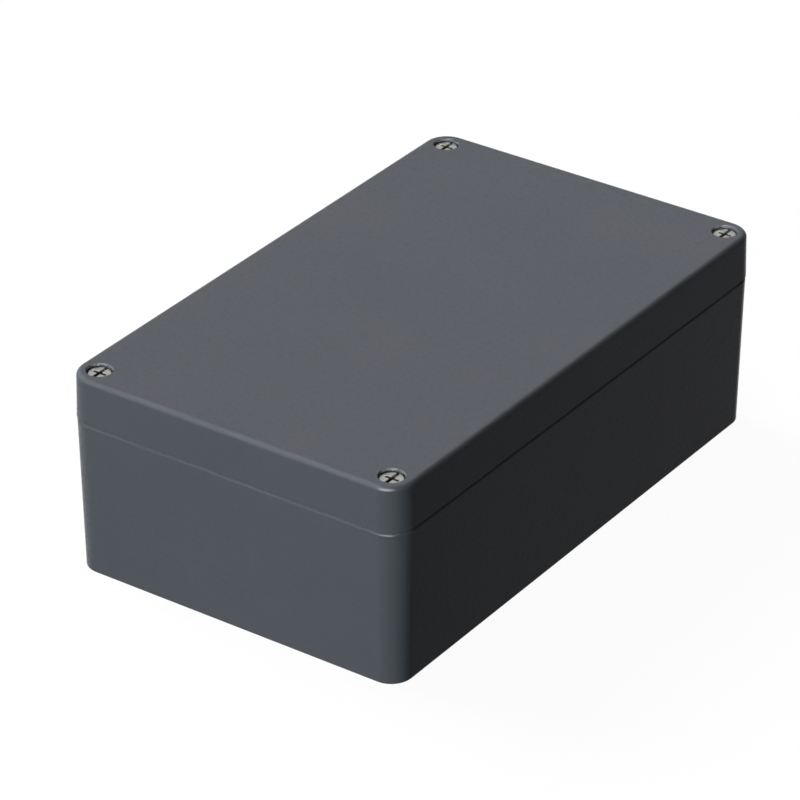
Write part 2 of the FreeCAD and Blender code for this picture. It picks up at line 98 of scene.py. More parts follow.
# Castings: the rounding of their edges, and heights on the box between which it changes. The
# lid's parting edge stays crisp, its screw holes' rims are machined, and the base's rim is too
# narrow beside the tongue for more than a share of the rounding.
CASTING_EDGE = 0.45
CASTING_STEPS = 3
LID_CRISP_BELOW = 69.4
BASE_RIMS_ABOVE = 66.0
LID_RIMS_ABOVE = 88.5
RIM_SHARE = 0.3
SHARP_CORNER = math.radians(24)
SQUARE_CORNER = math.radians(60)
FLAT = math.radians(0.4)
SAME_PLACE = 0.001
ON_CUT = 0.0001

# Where the castings' large faces are cut: across the length, then across the width. Lines near
# a screw hole, a fixing well or a boss pass its middle, so that no narrow strip is left.
CUT_LINES = (
    ((1, 0, 0), (-120.3, -95.3, -40.2, 0.0, 40.2, 95.3, 120.3)),
    ((0, 1, 0), (-70.3, -20.1, 20.1, 70.3)),
)

# Clamp and washer of the earth terminal
PRESSED_EDGE = 0.12
PRESSED_STEPS = 2

# Lid screw, M6 x 25, and earth screw, M5 x 12: lengths along the screw are heights over the seat
LID_SCREW = {
    "head_top": 3.8,
    "head_edge": 0.25,
    "neck_radius": 2.3,
    "thread_radius": 2.95,
    "thread_depth": 0.6,
    "thread_pitch": 1.0,
    "tip_chamfer": 0.9,
    "slot": (12.0, 1.6, 3.6),
    "arm": (9.0, 1.5, 5.6),
    "arm_taper": 0.45,
}
EARTH_SCREW = {
    "head_top": 3.7,
    "head_edge": 1.2,
    "neck_radius": 2.2,
    "thread_radius": 2.45,
    "thread_depth": 0.48,
    "thread_pitch": 0.8,
    "tip_chamfer": 0.7,
    "slot": (4.0, 1.2, 1.0),
    "arm": (5.0, 1.2, 4.4),
    "arm_taper": 0.5,
}
EARTH_NECK = 0.6
ARM_THINNING = 0.8
RECESS_MARGIN = 0.1

# Corners of the screw's outline: the rim of its head, and where the thread's straight run starts
HEAD_RIM = 1
THREAD_RUN = 5

# Fineness of turned and swept pieces
TURNS = 72
CUTS_PER_TURN = 10
HEAD_STEPS = 5
RING_STEPS = 3
BEND_STEPS = 10
STRIP_STEPS = 4
JOIN = 0.0005
SMOOTH_BEND = math.radians(32)

# Retaining ring
RING_BORE_RADIUS = 2.35
RING_EDGE = 0.25

# Seal: corners of its middle line, as the groove runs, and its section. Its height is the CAD's.
SEAL_FAR = (127.4, 77.4)
SEAL_NEAR = (111.4, 46.4)
SEAL_RADIUS = 6.0
SEAL_WIDTH = 2.6
SEAL_EDGE = 0.5


def linear(colour):
    """A colour written as sRGB hex, as the linear RGBA that shaders take."""
    parts = [int(colour[i : i + 2], 16) / 255 for i in (0, 2, 4)]
    turned = [p / 12.92 if p <= 0.04045 else ((p + 0.055) / 1.055) ** 2.4 for p in parts]
    return (*turned, 1.0)


def add(tree, kind, inputs=None, **settings):
    """Add a node with its settings, and fill or link its inputs by name or number.

    A source is a value, a socket, a node, which gives its first output, or a list of such.
    """
    node = tree.nodes.new(kind)
    for name, setting in settings.items():
        setattr(node, name, setting)
    for key, sources in (inputs or {}).items():
        for source in sources if isinstance(sources, list) else [sources]:
            if isinstance(source, bpy.types.Node):
                source = source.outputs[0]
            if isinstance(source, bpy.types.NodeSocket):
                tree.links.new(source, node.inputs[key])
            else:
                node.inputs[key].default_value = source
    return node


def new_material(name):
    """An empty node material, its tree and its output node."""
    material = bpy.data.materials.new(name)
    material.use_nodes = True
    tree = material.node_tree
    tree.nodes.clear()
    return material, tree, add(tree, "ShaderNodeOutputMaterial")


# Finishes


def powder_coat():
    """Die-cast aluminium, powder coated graphite grey.

    The cured powder levels into a fine orange peel a millimetre or two across, over the tiny
    grains of the powder. It is even and nearly matt, with a soft shine on the rounded edges, and
    hides the metal.
    """
    material, tree, output = new_material("powder_coated_casting")
    place = add(tree, "ShaderNodeTexCoord").outputs["Object"]
    batches = add(
        tree, "ShaderNodeTexNoise", {"Vector": place, "Scale": 1 / (55 * MM), "Detail": 2.0}
    )
    tone = add(
        tree, "ShaderNodeMapRange", {"Value": batches, "From Min": 0.3, "From Max": 0.7}
    )
    colour = add(
        tree,
        "ShaderNodeMix",
        {0: tone, 6: linear("575A60"), 7: linear("5A5C62")},
        data_type="RGBA",
    )
    peel = add(
        tree, "ShaderNodeTexNoise", {"Vector": place, "Scale": 1 / (1.6 * MM), "Detail": 1.5}
    )
    grains = add(
        tree, "ShaderNodeTexNoise", {"Vector": place, "Scale": 1 / (0.35 * MM), "Detail": 1.0}
    )
    height = add(tree, "ShaderNodeMath", {0: grains, 1: 0.3, 2: peel}, operation="MULTIPLY_ADD")
    sheen = add(
        tree,
        "ShaderNodeMapRange",
        {"Value": peel, "From Min": 0.3, "From Max": 0.7, "To Min": 0.26, "To Max": 0.31},
    )
    relief = add(tree, "ShaderNodeBump", {"Height": height, "Distance": 0.003 * MM})
    shader = add(
        tree,
        "ShaderNodeBsdfPrincipled",
        {
            "Base Color": colour.outputs[2],
            "Roughness": sheen,
            "IOR": 1.5,
            "Specular IOR Level": 0.022,
            "Normal": relief,
        },
    )
    tree.links.new(shader.outputs[0], output.inputs[0])
    return material


def turned_steel():
    """Stainless steel, cold headed and turned, then tumbled.

    Fine rings about the screw's axis stretch its highlights, and tumbling leaves it satin. The
    recess is darkened with painted shade, darker the deeper it goes. The screws carry their own
    place about that axis in the attribute named turned, and how deep in the recess a point is in
    the one named recessed.
    """
    material, tree, output = new_material("turned_stainless_steel")
    turned = add(
        tree, "ShaderNodeAttribute", attribute_name="turned", attribute_type="GEOMETRY"
    ).outputs["Vector"]
    across = add(tree, "ShaderNodeVectorMath", {0: turned, 1: (1, 1, 0)}, operation="MULTIPLY")
    radius = add(tree, "ShaderNodeVectorMath", {0: across}, operation="LENGTH").outputs["Value"]
    rings = add(
        tree,
        "ShaderNodeTexNoise",
        {"W": radius, "Scale": 1 / (0.12 * MM), "Detail": 2.0},
        noise_dimensions="1D",
    )
    marks = add(
        tree, "ShaderNodeTexNoise", {"Vector": turned, "Scale": 1 / (0.8 * MM), "Detail": 3.0}
    )
    tone = add(tree, "ShaderNodeMapRange", {"Value": marks, "From Min": 0.3, "From Max": 0.7})
    bright = add(
        tree,
        "ShaderNodeMix",
        {0: tone, 6: linear("90918C"), 7: linear("9B9B96")},
        data_type="RGBA",
    )
    depth = add(
        tree, "ShaderNodeAttribute", attribute_name="recessed", attribute_type="GEOMETRY"
    ).outputs["Fac"]
    # Painted shade: from its mouth down to 0.4 mm deep, the recess darkens fully, standing in for
    # the shade inside it
    recess_shade = add(
        tree,
        "ShaderNodeMapRange",
        {"Value": depth, "From Min": 0.08 * MM, "From Max": 0.4 * MM},
    )
    # The near-black colour here is the painted shade of the recess, not a coating on the steel
    colour = add(
        tree,
        "ShaderNodeMix",
        {0: recess_shade, 6: bright.outputs[2], 7: linear("30312C")},
        data_type="RGBA",
    )
    tumbled = add(
        tree,
        "ShaderNodeMapRange",
        {"Value": marks, "From Min": 0.3, "From Max": 0.7, "To Min": 0.28, "To Max": 0.34},
    )
    relief = add(tree, "ShaderNodeBump", {"Height": rings, "Distance": 0.004 * MM})
    shader = add(
        tree,
        "ShaderNodeBsdfPrincipled",
        {
            "Base Color": colour.outputs[2],
            "Metallic": 1.0,
            "Roughness": tumbled,
            "Normal": relief,
        },
    )
    tree.links.new(shader.outputs[0], output.inputs[0])
    return material


def zinc_plate():
    """Spring steel, zinc plated: bluish, brighter and more patchy than the stainless screws."""
    material, tree, output = new_material("zinc_plated_spring_steel")
    place = add(tree, "ShaderNodeTexCoord").outputs["Object"]
    bloom = add(
        tree, "ShaderNodeTexNoise", {"Vector": place, "Scale": 1 / (1.5 * MM), "Detail": 3.0}
    )
    tone = add(tree, "ShaderNodeMapRange", {"Value": bloom, "From Min": 0.3, "From Max": 0.7})
    colour = add(
        tree,
        "ShaderNodeMix",
        {0: tone, 6: linear("A3A8AC"), 7: linear("B4B8BA")},
        data_type="RGBA",
    )
    satin = add(
        tree,
        "ShaderNodeMapRange",
        {"Value": bloom, "From Min": 0.3, "From Max": 0.7, "To Min": 0.28, "To Max": 0.42},
    )
    shader = add(
        tree,
        "ShaderNodeBsdfPrincipled",
        {"Base Color": colour.outputs[2], "Metallic": 1.0, "Roughness": satin},
    )
    tree.links.new(shader.outputs[0], output.inputs[0])
    return material


def seal_rubber():
    """Chloroprene rubber, extruded: matt near-black with a fine, slightly dusty skin."""
    material, tree, output = new_material("chloroprene_rubber")
    place = add(tree, "ShaderNodeTexCoord").outputs["Object"]
    dust = add(
        tree, "ShaderNodeTexNoise", {"Vector": place, "Scale": 1 / (9 * MM), "Detail": 4.0}
    )
    tone = add(tree, "ShaderNodeMapRange", {"Value": dust, "From Min": 0.3, "From Max": 0.7})
    colour = add(
        tree,
        "ShaderNodeMix",
        {0: tone, 6: linear("1B1C1E"), 7: linear("26272A")},
        data_type="RGBA",
    )
    skin = add(
        tree, "ShaderNodeTexNoise", {"Vector": place, "Scale": 1 / (0.4 * MM), "Detail": 2.0}
    )
    dull = add(
        tree,
        "ShaderNodeMapRange",
        {"Value": skin, "From Min": 0.3, "From Max": 0.7, "To Min": 0.70, "To Max": 0.84},
    )
    relief = add(tree, "ShaderNodeBump", {"Height": skin, "Distance": 0.02 * MM})
    shader = add(
        tree,
        "ShaderNodeBsdfPrincipled",
        {"Base Color": colour.outputs[2], "Roughness": dull, "IOR": 1.52, "Normal": relief},
    )
    tree.links.new(shader.outputs[0], output.inputs[0])
    return material


def moulded_nylon():
    """Natural polyamide, moulded: off-white, a little see-through, with a satin skin."""
    material, tree, output = new_material("moulded_nylon")
    place = add(tree, "ShaderNodeTexCoord").outputs["Object"]
    clouds = add(
        tree, "ShaderNodeTexNoise", {"Vector": place, "Scale": 1 / (2.5 * MM), "Detail": 2.0}
    )
    tone = add(tree, "ShaderNodeMapRange", {"Value": clouds, "From Min": 0.3, "From Max": 0.7})
    colour = add(
        tree,
        "ShaderNodeMix",
        {0: tone, 6: linear("D9D5C6"), 7: linear("E4E1D4")},
        data_type="RGBA",
    )
    satin = add(
        tree,
        "ShaderNodeMapRange",
        {"Value": clouds, "From Min": 0.3, "From Max": 0.7, "To Min": 0.38, "To Max": 0.50},
    )
    shader = add(
        tree,
        "ShaderNodeBsdfPrincipled",
        {
            "Base Color": colour.outputs[2],
            "Roughness": satin,
            "IOR": 1.53,
            "Subsurface Weight": 0.2,
            "Subsurface Scale": 0.4 * MM,
        },
    )
    tree.links.new(shader.outputs[0], output.inputs[0])
    return material


def pressed_brass():
    """Brass strip, blanked and bent: yellow, with the lengthwise streaks of the rolled sheet."""
    material, tree, output = new_material("pressed_brass")
    place = add(tree, "ShaderNodeTexCoord").outputs["Object"]
    along = add(tree, "ShaderNodeMapping", {"Vector": place, "Scale": (1.0, 0.04, 1.0)})
    streaks = add(
        tree, "ShaderNodeTexNoise", {"Vector": along, "Scale": 1 / (0.25 * MM), "Detail": 3.0}
    )
    tarnish = add(
        tree, "ShaderNodeTexNoise", {"Vector": place, "Scale": 1 / (4 * MM), "Detail": 3.0}
    )
    tone = add(tree, "ShaderNodeMapRange", {"Value": tarnish, "From Min": 0.3, "From Max": 0.7})
    colour = add(
        tree,
        "ShaderNodeMix",
        {0: tone, 6: linear("C9AC62"), 7: linear("B5985A")},
        data_type="RGBA",
    )
    rolled = add(
        tree,
        "ShaderNodeMapRange",
        {"Value": streaks, "From Min": 0.3, "From Max": 0.7, "To Min": 0.26, "To Max": 0.40},
    )
    relief = add(tree, "ShaderNodeBump", {"Height": streaks, "Distance": 0.006 * MM})
    shader = add(
        tree,
        "ShaderNodeBsdfPrincipled",
        {
            "Base Color": colour.outputs[2],
            "Metallic": 1.0,
            "Roughness": rolled,
            "Normal": relief,
        },
    )
    tree.links.new(shader.outputs[0], output.inputs[0])
    return material


# Geometry trees


def new_tree(name, inputs):
    """A geometry tree with one mesh output and named inputs, and its two end nodes."""
    tree = bpy.data.node_groups.new(name, "GeometryNodeTree")
    for label, kind in inputs.items():
        tree.interface.new_socket(label, in_out="INPUT", socket_type="NodeSocket" + kind)
    tree.interface.new_socket("Geometry", in_out="OUTPUT", socket_type="NodeSocketGeometry")
    return tree, add(tree, "NodeGroupInput").outputs, add(tree, "NodeGroupOutput")


def polyline(tree, corners, closed=False):
    """A curve of straight runs through the given corners."""
    line = add(tree, "GeometryNodeMeshLine", {"Count": len(corners)})
    index = add(tree, "GeometryNodeInputIndex")
    corner = add(tree, "GeometryNodeIndexSwitch", {"Index": index}, data_type="VECTOR")
    while len(corner.index_switch_items) < len(corners):
        corner.index_switch_items.new()
    for number, source in enumerate(corners, 1):
        tree.links.new(source.outputs[0], corner.inputs[number])
    placed = add(tree, "GeometryNodeSetPosition", {"Geometry": line, "Position": corner})
    curve = add(tree, "GeometryNodeMeshToCurve", {0: placed})
    return add(tree, "GeometryNodeSetSplineCyclic", {"Geometry": curve, "Cyclic": closed})


def make_lathe():
    """Tree that turns a curve, drawn as radius and height in the XZ plane, about the Z axis.

    Closing Row is 1 where the curve is closed, so that its last row of faces joins its first.
    """
    tree, given, result = new_tree(
        "lathe", {"Outline": "Geometry", "Segments": "Int", "Closing Row": "Int"}
    )
    points = add(
        tree, "GeometryNodeCurveToPoints", {"Curve": given["Outline"]}, mode="EVALUATED"
    )
    count = add(
        tree, "GeometryNodeAttributeDomainSize", {0: points}, component="POINTCLOUD"
    ).outputs["Point Count"]
    rows = add(tree, "ShaderNodeMath", {0: count, 1: given["Closing Row"]}, operation="ADD")
    columns = add(tree, "ShaderNodeMath", {0: given["Segments"], 1: 1.0}, operation="ADD")
    grid = add(
        tree,
        "GeometryNodeMeshGrid",
        {"Size X": 1.0, "Size Y": 1.0, "Vertices X": columns, "Vertices Y": rows},
    )
    place = add(tree, "GeometryNodeInputPosition")
    across = add(tree, "ShaderNodeSeparateXYZ", {0: place}).outputs
    turn = add(
        tree,
        "ShaderNodeMapRange",
        {"Value": across[0], "From Min": -0.5, "From Max": 0.5, "To Max": 2 * math.pi},
    )
    last = add(tree, "ShaderNodeMath", {0: rows, 1: 1.0}, operation="SUBTRACT")
    along = add(
        tree,
        "ShaderNodeMapRange",
        {"Value": across[1], "From Min": -0.5, "From Max": 0.5, "To Max": last},
    )
    step = add(tree, "ShaderNodeMath", {0: along}, operation="ROUND")
    row = add(tree, "ShaderNodeMath", {0: step, 1: count}, operation="MODULO")
    section = add(
        tree,
        "GeometryNodeSampleIndex",
        {"Geometry": points, "Value": place, "Index": row},
        data_type="FLOAT_VECTOR",
    )
    turned = add(
        tree,
        "ShaderNodeVectorRotate",
        {"Vector": section, "Angle": turn},
        rotation_type="Z_AXIS",
    )
    solid = add(tree, "GeometryNodeSetPosition", {"Geometry": grid, "Position": turned})
    joined = add(
        tree, "GeometryNodeMergeByDistance", {"Geometry": solid, "Distance": JOIN * MM}
    )
    tree.links.new(joined.outputs[0], result.inputs[0])
    return tree


def finish_piece(tree, mesh, given, result):
    """Keep each point's own place as an attribute, shade the piece, move it and give its finish."""
    own_place = add(tree, "GeometryNodeInputPosition")
    kept = add(
        tree,
        "GeometryNodeStoreNamedAttribute",
        {"Geometry": mesh, "Name": "turned", "Value": own_place},
        data_type="FLOAT_VECTOR",
        domain="POINT",
    )
    bend = add(tree, "GeometryNodeInputMeshEdgeAngle").outputs["Unsigned Angle"]
    smooth = add(tree, "FunctionNodeCompare", {0: bend, 1: SMOOTH_BEND}, operation="LESS_THAN")
    shaded = add(
        tree,
        "GeometryNodeSetShadeSmooth",
        {"Geometry": kept, "Shade Smooth": smooth},
        domain="EDGE",
    )
    placed = add(
        tree, "GeometryNodeTransform", {"Geometry": shaded, "Translation": given["Place"]}
    )
    real = add(tree, "GeometryNodeRealizeInstances", {"Geometry": placed})
    finished = add(
        tree, "GeometryNodeSetMaterial", {"Geometry": real, "Material": given["Finish"]}
    )
    tree.links.new(finished.outputs[0], result.inputs[0])


def cut_thread(tree, blank, given):
    """The blank with a V thread pressed into it, between the heights where the thread runs."""
    place = add(tree, "GeometryNodeInputPosition")
    x, y, z = add(tree, "ShaderNodeSeparateXYZ", {0: place}).outputs
    angle = add(tree, "ShaderNodeMath", {0: y, 1: x}, operation="ARCTAN2")
    turn = add(tree, "ShaderNodeMath", {0: angle, 1: 2 * math.pi}, operation="DIVIDE")
    climb = add(tree, "ShaderNodeMath", {0: z, 1: given["Thread Pitch"]}, operation="DIVIDE")
    phase = add(tree, "ShaderNodeMath", {0: climb, 1: turn}, operation="SUBTRACT")
    wave = add(tree, "ShaderNodeMath", {0: phase, 1: 0.5}, operation="PINGPONG")
    below = add(
        tree,
        "ShaderNodeMapRange",
        {"Value": z, "From Min": given["Thread Top"], "From Max": given["Thread Full"]},
    )
    above = add(
        tree,
        "ShaderNodeMapRange",
        {"Value": z, "From Min": given["Tip"], "From Max": given["Thread Low"]},
    )
    present = add(tree, "ShaderNodeMath", {0: below, 1: above}, operation="MULTIPLY")
    deep = add(tree, "ShaderNodeMath", {0: wave, 1: given["Thread Depth"]}, operation="MULTIPLY")
    depth = add(tree, "ShaderNodeMath", {0: deep, 1: present}, operation="MULTIPLY")
    inward = add(tree, "ShaderNodeVectorMath", {0: place, 1: (-1, -1, 0)}, operation="MULTIPLY")
    unit = add(tree, "ShaderNodeVectorMath", {0: inward}, operation="NORMALIZE")
    double = add(tree, "ShaderNodeMath", {0: depth, 1: 2.0}, operation="MULTIPLY")
    cut = add(tree, "ShaderNodeVectorMath", {0: unit, "Scale": double}, operation="SCALE")
    return add(tree, "GeometryNodeSetPosition", {"Geometry": blank, "Offset": cut})


def cut_recess(tree, screw, given):
    """The screw with a slot across its head and a cross of two tapered arms."""
    mouth = add(tree, "ShaderNodeCombineXYZ", {"Z": given["Head Top"]})
    slot = add(tree, "GeometryNodeMeshCube", {"Size": given["Slot Box"]})
    wing = add(tree, "GeometryNodeMeshCube", {"Size": given["Arm Box"]})
    place = add(tree, "GeometryNodeInputPosition")
    height = add(tree, "ShaderNodeSeparateXYZ", {0: place}).outputs["Z"]
    low = add(tree, "FunctionNodeCompare", {0: height, 1: 0.0}, operation="LESS_THAN")
    narrow = add(
        tree, "ShaderNodeCombineXYZ", {"X": given["Arm Taper"], "Y": ARM_THINNING, "Z": 1.0}
    )
    narrowed = add(tree, "ShaderNodeVectorMath", {0: place, 1: narrow}, operation="MULTIPLY")
    arm = add(
        tree,
        "GeometryNodeSetPosition",
        {"Geometry": wing, "Selection": low, "Position": narrowed},
    )
    cutters = [add(tree, "GeometryNodeTransform", {"Geometry": slot, "Translation": mouth})]
    for angle in (0, math.pi / 2):
        cutters.append(
            add(
                tree,
                "GeometryNodeTransform",
                {"Geometry": arm, "Translation": mouth, "Rotation": (0, 0, angle)},
            )
        )
    return add(
        tree,
        "GeometryNodeMeshBoolean",
        {"Mesh 1": screw, "Mesh 2": cutters},
        operation="DIFFERENCE",
    )


def mark_recess(tree, screw, given):
    """The screw with each point's depth in the recess stored, which is 0 at its mouth."""
    place = add(tree, "GeometryNodeInputPosition")
    height = add(tree, "ShaderNodeSeparateXYZ", {0: place}).outputs["Z"]
    across = add(tree, "ShaderNodeVectorMath", {0: place, 1: (1, 1, 0)}, operation="MULTIPLY")
    radius = add(tree, "ShaderNodeVectorMath", {0: across}, operation="LENGTH").outputs["Value"]
    rim = add(
        tree,
        "ShaderNodeMath",
        {0: given["Head Radius"], 1: RECESS_MARGIN * MM},
        operation="SUBTRACT",
    )
    inside = add(tree, "ShaderNodeMath", {0: radius, 1: rim}, operation="LESS_THAN")
    in_head = add(
        tree, "ShaderNodeMath", {0: height, 1: RECESS_MARGIN * MM}, operation="GREATER_THAN"
    )
    depth = add(tree, "ShaderNodeMath", {0: given["Head Top"], 1: height}, operation="SUBTRACT")
    sunk = add(tree, "ShaderNodeMath", {0: depth, 1: inside}, operation="MULTIPLY")
    marked = add(tree, "ShaderNodeMath", {0: sunk, 1: in_head}, operation="MULTIPLY")
    return add(
        tree,
        "GeometryNodeStoreNamedAttribute",
        {"Geometry": screw, "Name": "recessed", "Value": marked},
        data_type="FLOAT",
        domain="POINT",
    )


def make_screw_tree(lathe):
    """Tree for a machine screw: head with its recess, neck, rolled thread and chamfered tip.

    Its seat, under the head, is at height 0, and the other heights are above or below it.
    """
    tree, given, result = new_tree(
        "machine_screw",
        {
            "Head Radius": "Float",
            "Head Top": "Float",
            "Head Edge": "Float",
            "Neck Radius": "Float",
            "Thread Radius": "Float",
            "Thread Top": "Float",
            "Thread Full": "Float",
            "Thread Low": "Float",
            "Tip": "Float",
            "Tip Radius": "Float",
            "Thread Depth": "Float",
            "Thread Pitch": "Float",
            "Thread Cuts": "Int",
            "Slot Box": "Vector",
            "Arm Box": "Vector",
            "Arm Taper": "Float",
            "Place": "Vector",
            "Finish": "Material",
        },
    )
    outline = (
        (None, "Head Top"),
        ("Head Radius", "Head Top"),
        ("Head Radius", None),
        ("Neck Radius", None),
        ("Neck Radius", "Thread Top"),
        ("Thread Radius", "Thread Full"),
        ("Thread Radius", "Thread Low"),
        ("Tip Radius", "Tip"),
        (None, "Tip"),
    )
    corners = []
    for radius, height in outline:
        known = {axis: given[name] for axis, name in (("X", radius), ("Z", height)) if name}
        corners.append(add(tree, "ShaderNodeCombineXYZ", known))
    index = add(tree, "GeometryNodeInputIndex")
    threaded = add(
        tree,
        "FunctionNodeCompare",
        {2: index, 3: THREAD_RUN},
        data_type="INT",
        operation="EQUAL",
    )
    cuts = add(
        tree, "ShaderNodeMath", {0: threaded, 1: given["Thread Cuts"]}, operation="MULTIPLY"
    )
    ruled = add(
        tree, "GeometryNodeSubdivideCurve", {"Curve": polyline(tree, corners), "Cuts": cuts}
    )
    rim = add(
        tree,
        "FunctionNodeCompare",
        {2: index, 3: HEAD_RIM},
        data_type="INT",
        operation="EQUAL",
    )
    edge = add(tree, "ShaderNodeMath", {0: rim, 1: given["Head Edge"]}, operation="MULTIPLY")
    rounded = add(
        tree,
        "GeometryNodeFilletCurve",
        {"Curve": ruled, "Radius": edge, "Limit Radius": True, "Count": HEAD_STEPS},
        mode="POLY",
    )
    blank = add(tree, "GeometryNodeGroup", node_tree=lathe)
    tree.links.new(rounded.outputs[0], blank.inputs["Outline"])
    blank.inputs["Segments"].default_value = TURNS
    screw = cut_recess(tree, cut_thread(tree, blank, given), given)
    screw = mark_recess(tree, screw, given)
    finish_piece(tree, screw, given, result)
    return tree


def make_ring_tree(lathe):
    """Tree for a plain ring with rounded edges, its lower face at height 0."""
    tree, given, result = new_tree(
        "moulded_ring",
        {
            "Inner Radius": "Float",
            "Outer Radius": "Float",
            "Thickness": "Float",
            "Edge": "Float",
            "Place": "Vector",
            "Finish": "Material",
        },
    )
    corners = [
        add(tree, "ShaderNodeCombineXYZ", {"X": given["Inner Radius"]}),
        add(
            tree,
            "ShaderNodeCombineXYZ",
            {"X": given["Inner Radius"], "Z": given["Thickness"]},
        ),
        add(
            tree,
            "ShaderNodeCombineXYZ",
            {"X": given["Outer Radius"], "Z": given["Thickness"]},
        ),
        add(tree, "ShaderNodeCombineXYZ", {"X": given["Outer Radius"]}),
    ]
    section = add(
        tree,
        "GeometryNodeFilletCurve",
        {
            "Curve": polyline(tree, corners, closed=True),
            "Radius": given["Edge"],
            "Limit Radius": True,
            "Count": RING_STEPS,
        },
        mode="POLY",
    )
    ring = add(tree, "GeometryNodeGroup", node_tree=lathe)
    tree.links.new(section.outputs[0], ring.inputs["Outline"])
    ring.inputs["Segments"].default_value = TURNS
    ring.inputs["Closing Row"].default_value = 1
    finish_piece(tree, ring, given, result)
    return tree


def make_seal_tree():
    """Tree for the gasket: a rounded strip run along the groove, round the four screw corners."""
    tree, given, result = new_tree(
        "seal_strip",
        {
            "Far X": "Float",
            "Far Y": "Float",
            "Near X": "Float",
            "Near Y": "Float",
            "Corner Radius": "Float",
            "Strip Width": "Float",
            "Strip Height": "Float",
            "Edge": "Float",
            "Place": "Vector",
            "Finish": "Material",
        },
    )
    quarter = (("Far X", "Near Y"), ("Near X", "Near Y"), ("Near X", "Far Y"))
    corners = []
    for side_x, side_y in ((1, 1), (-1, 1), (-1, -1), (1, -1)):
        for name_x, name_y in quarter if side_x == side_y else quarter[::-1]:
            corner = add(tree, "ShaderNodeCombineXYZ", {"X": given[name_x], "Y": given[name_y]})
            corners.append(
                add(
                    tree,
                    "ShaderNodeVectorMath",
                    {0: corner, 1: (side_x, side_y, 1)},
                    operation="MULTIPLY",
                )
            )
    path = add(
        tree,
        "GeometryNodeFilletCurve",
        {
            "Curve": polyline(tree, corners, closed=True),
            "Radius": given["Corner Radius"],
            "Limit Radius": True,
            "Count": BEND_STEPS,
        },
        mode="POLY",
    )
    upright = add(tree, "GeometryNodeSetCurveNormal", {"Curve": path}, mode="Z_UP")
    strip = add(
        tree,
        "GeometryNodeCurvePrimitiveQuadrilateral",
        {"Width": given["Strip Width"], "Height": given["Strip Height"]},
    )
    section = add(
        tree,
        "GeometryNodeFilletCurve",
        {
            "Curve": strip,
            "Radius": given["Edge"],
            "Limit Radius": True,
            "Count": STRIP_STEPS,
        },
        mode="POLY",
    )
    swept = add(
        tree, "GeometryNodeCurveToMesh", {"Curve": upright, "Profile Curve": section}
    )
    finish_piece(tree, swept, given, result)
    return tree


def grown(name, tree, body, replaced, slot, **sizes):
    """A piece that a geometry tree makes, as a plain mesh that rides on a body."""
    seed = bpy.data.objects.new(name + "_seed", bpy.data.meshes.new(name + "_seed"))
    bpy.context.scene.collection.objects.link(seed)
    modifier = seed.modifiers.new("tree", "NODES")
    modifier.node_group = tree
    sockets = {s.name: s.identifier for s in tree.interface.items_tree if s.in_out == "INPUT"}
    for label, size in sizes.items():
        modifier[sockets[label.replace("_", " ").title()]] = size
    evaluated = seed.evaluated_get(bpy.context.evaluated_depsgraph_get())
    mesh = bpy.data.meshes.new_from_object(evaluated)
    mesh.name = name
    bpy.data.objects.remove(seed)
    piece = bpy.data.objects.new(name, mesh)
    bpy.context.scene.collection.objects.link(piece)
    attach(piece, body)
    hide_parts(replaced)
    return piece


def grow_screw(name, body, node, slot, neck_end, sizes):
    """A screw in the place of its CAD node, with its neck down to a given height."""
    low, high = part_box(node)
    seat = high.z - sizes["head_top"] * MM
    pitch, radius = sizes["thread_pitch"] * MM, sizes["thread_radius"] * MM
    thread_top, tip = neck_end - seat, low.z - seat
    thread_full = thread_top - sizes["thread_depth"] * MM
    thread_low = tip + sizes["tip_chamfer"] * MM
    grown(
        name,
        screw_tree,
        body,
        node,
        slot,
        head_radius=(high.x - low.x) / 2,
        head_top=sizes["head_top"] * MM,
        head_edge=sizes["head_edge"] * MM,
        neck_radius=sizes["neck_radius"] * MM,
        thread_radius=radius,
        thread_top=thread_top,
        thread_full=thread_full,
        thread_low=thread_low,
        tip=tip,
        tip_radius=radius - sizes["tip_chamfer"] * MM,
        thread_depth=sizes["thread_depth"] * MM,
        thread_pitch=pitch,
        thread_cuts=round((thread_full - thread_low) / pitch * CUTS_PER_TURN),
        slot_box=[side * MM for side in sizes["slot"]],
        arm_box=[side * MM for side in sizes["arm"]],
        arm_taper=sizes["arm_taper"],
        place=((low.x + high.x) / 2, (low.y + high.y) / 2, seat),
        finish=steel,
    )


# Pieces with their CAD shape


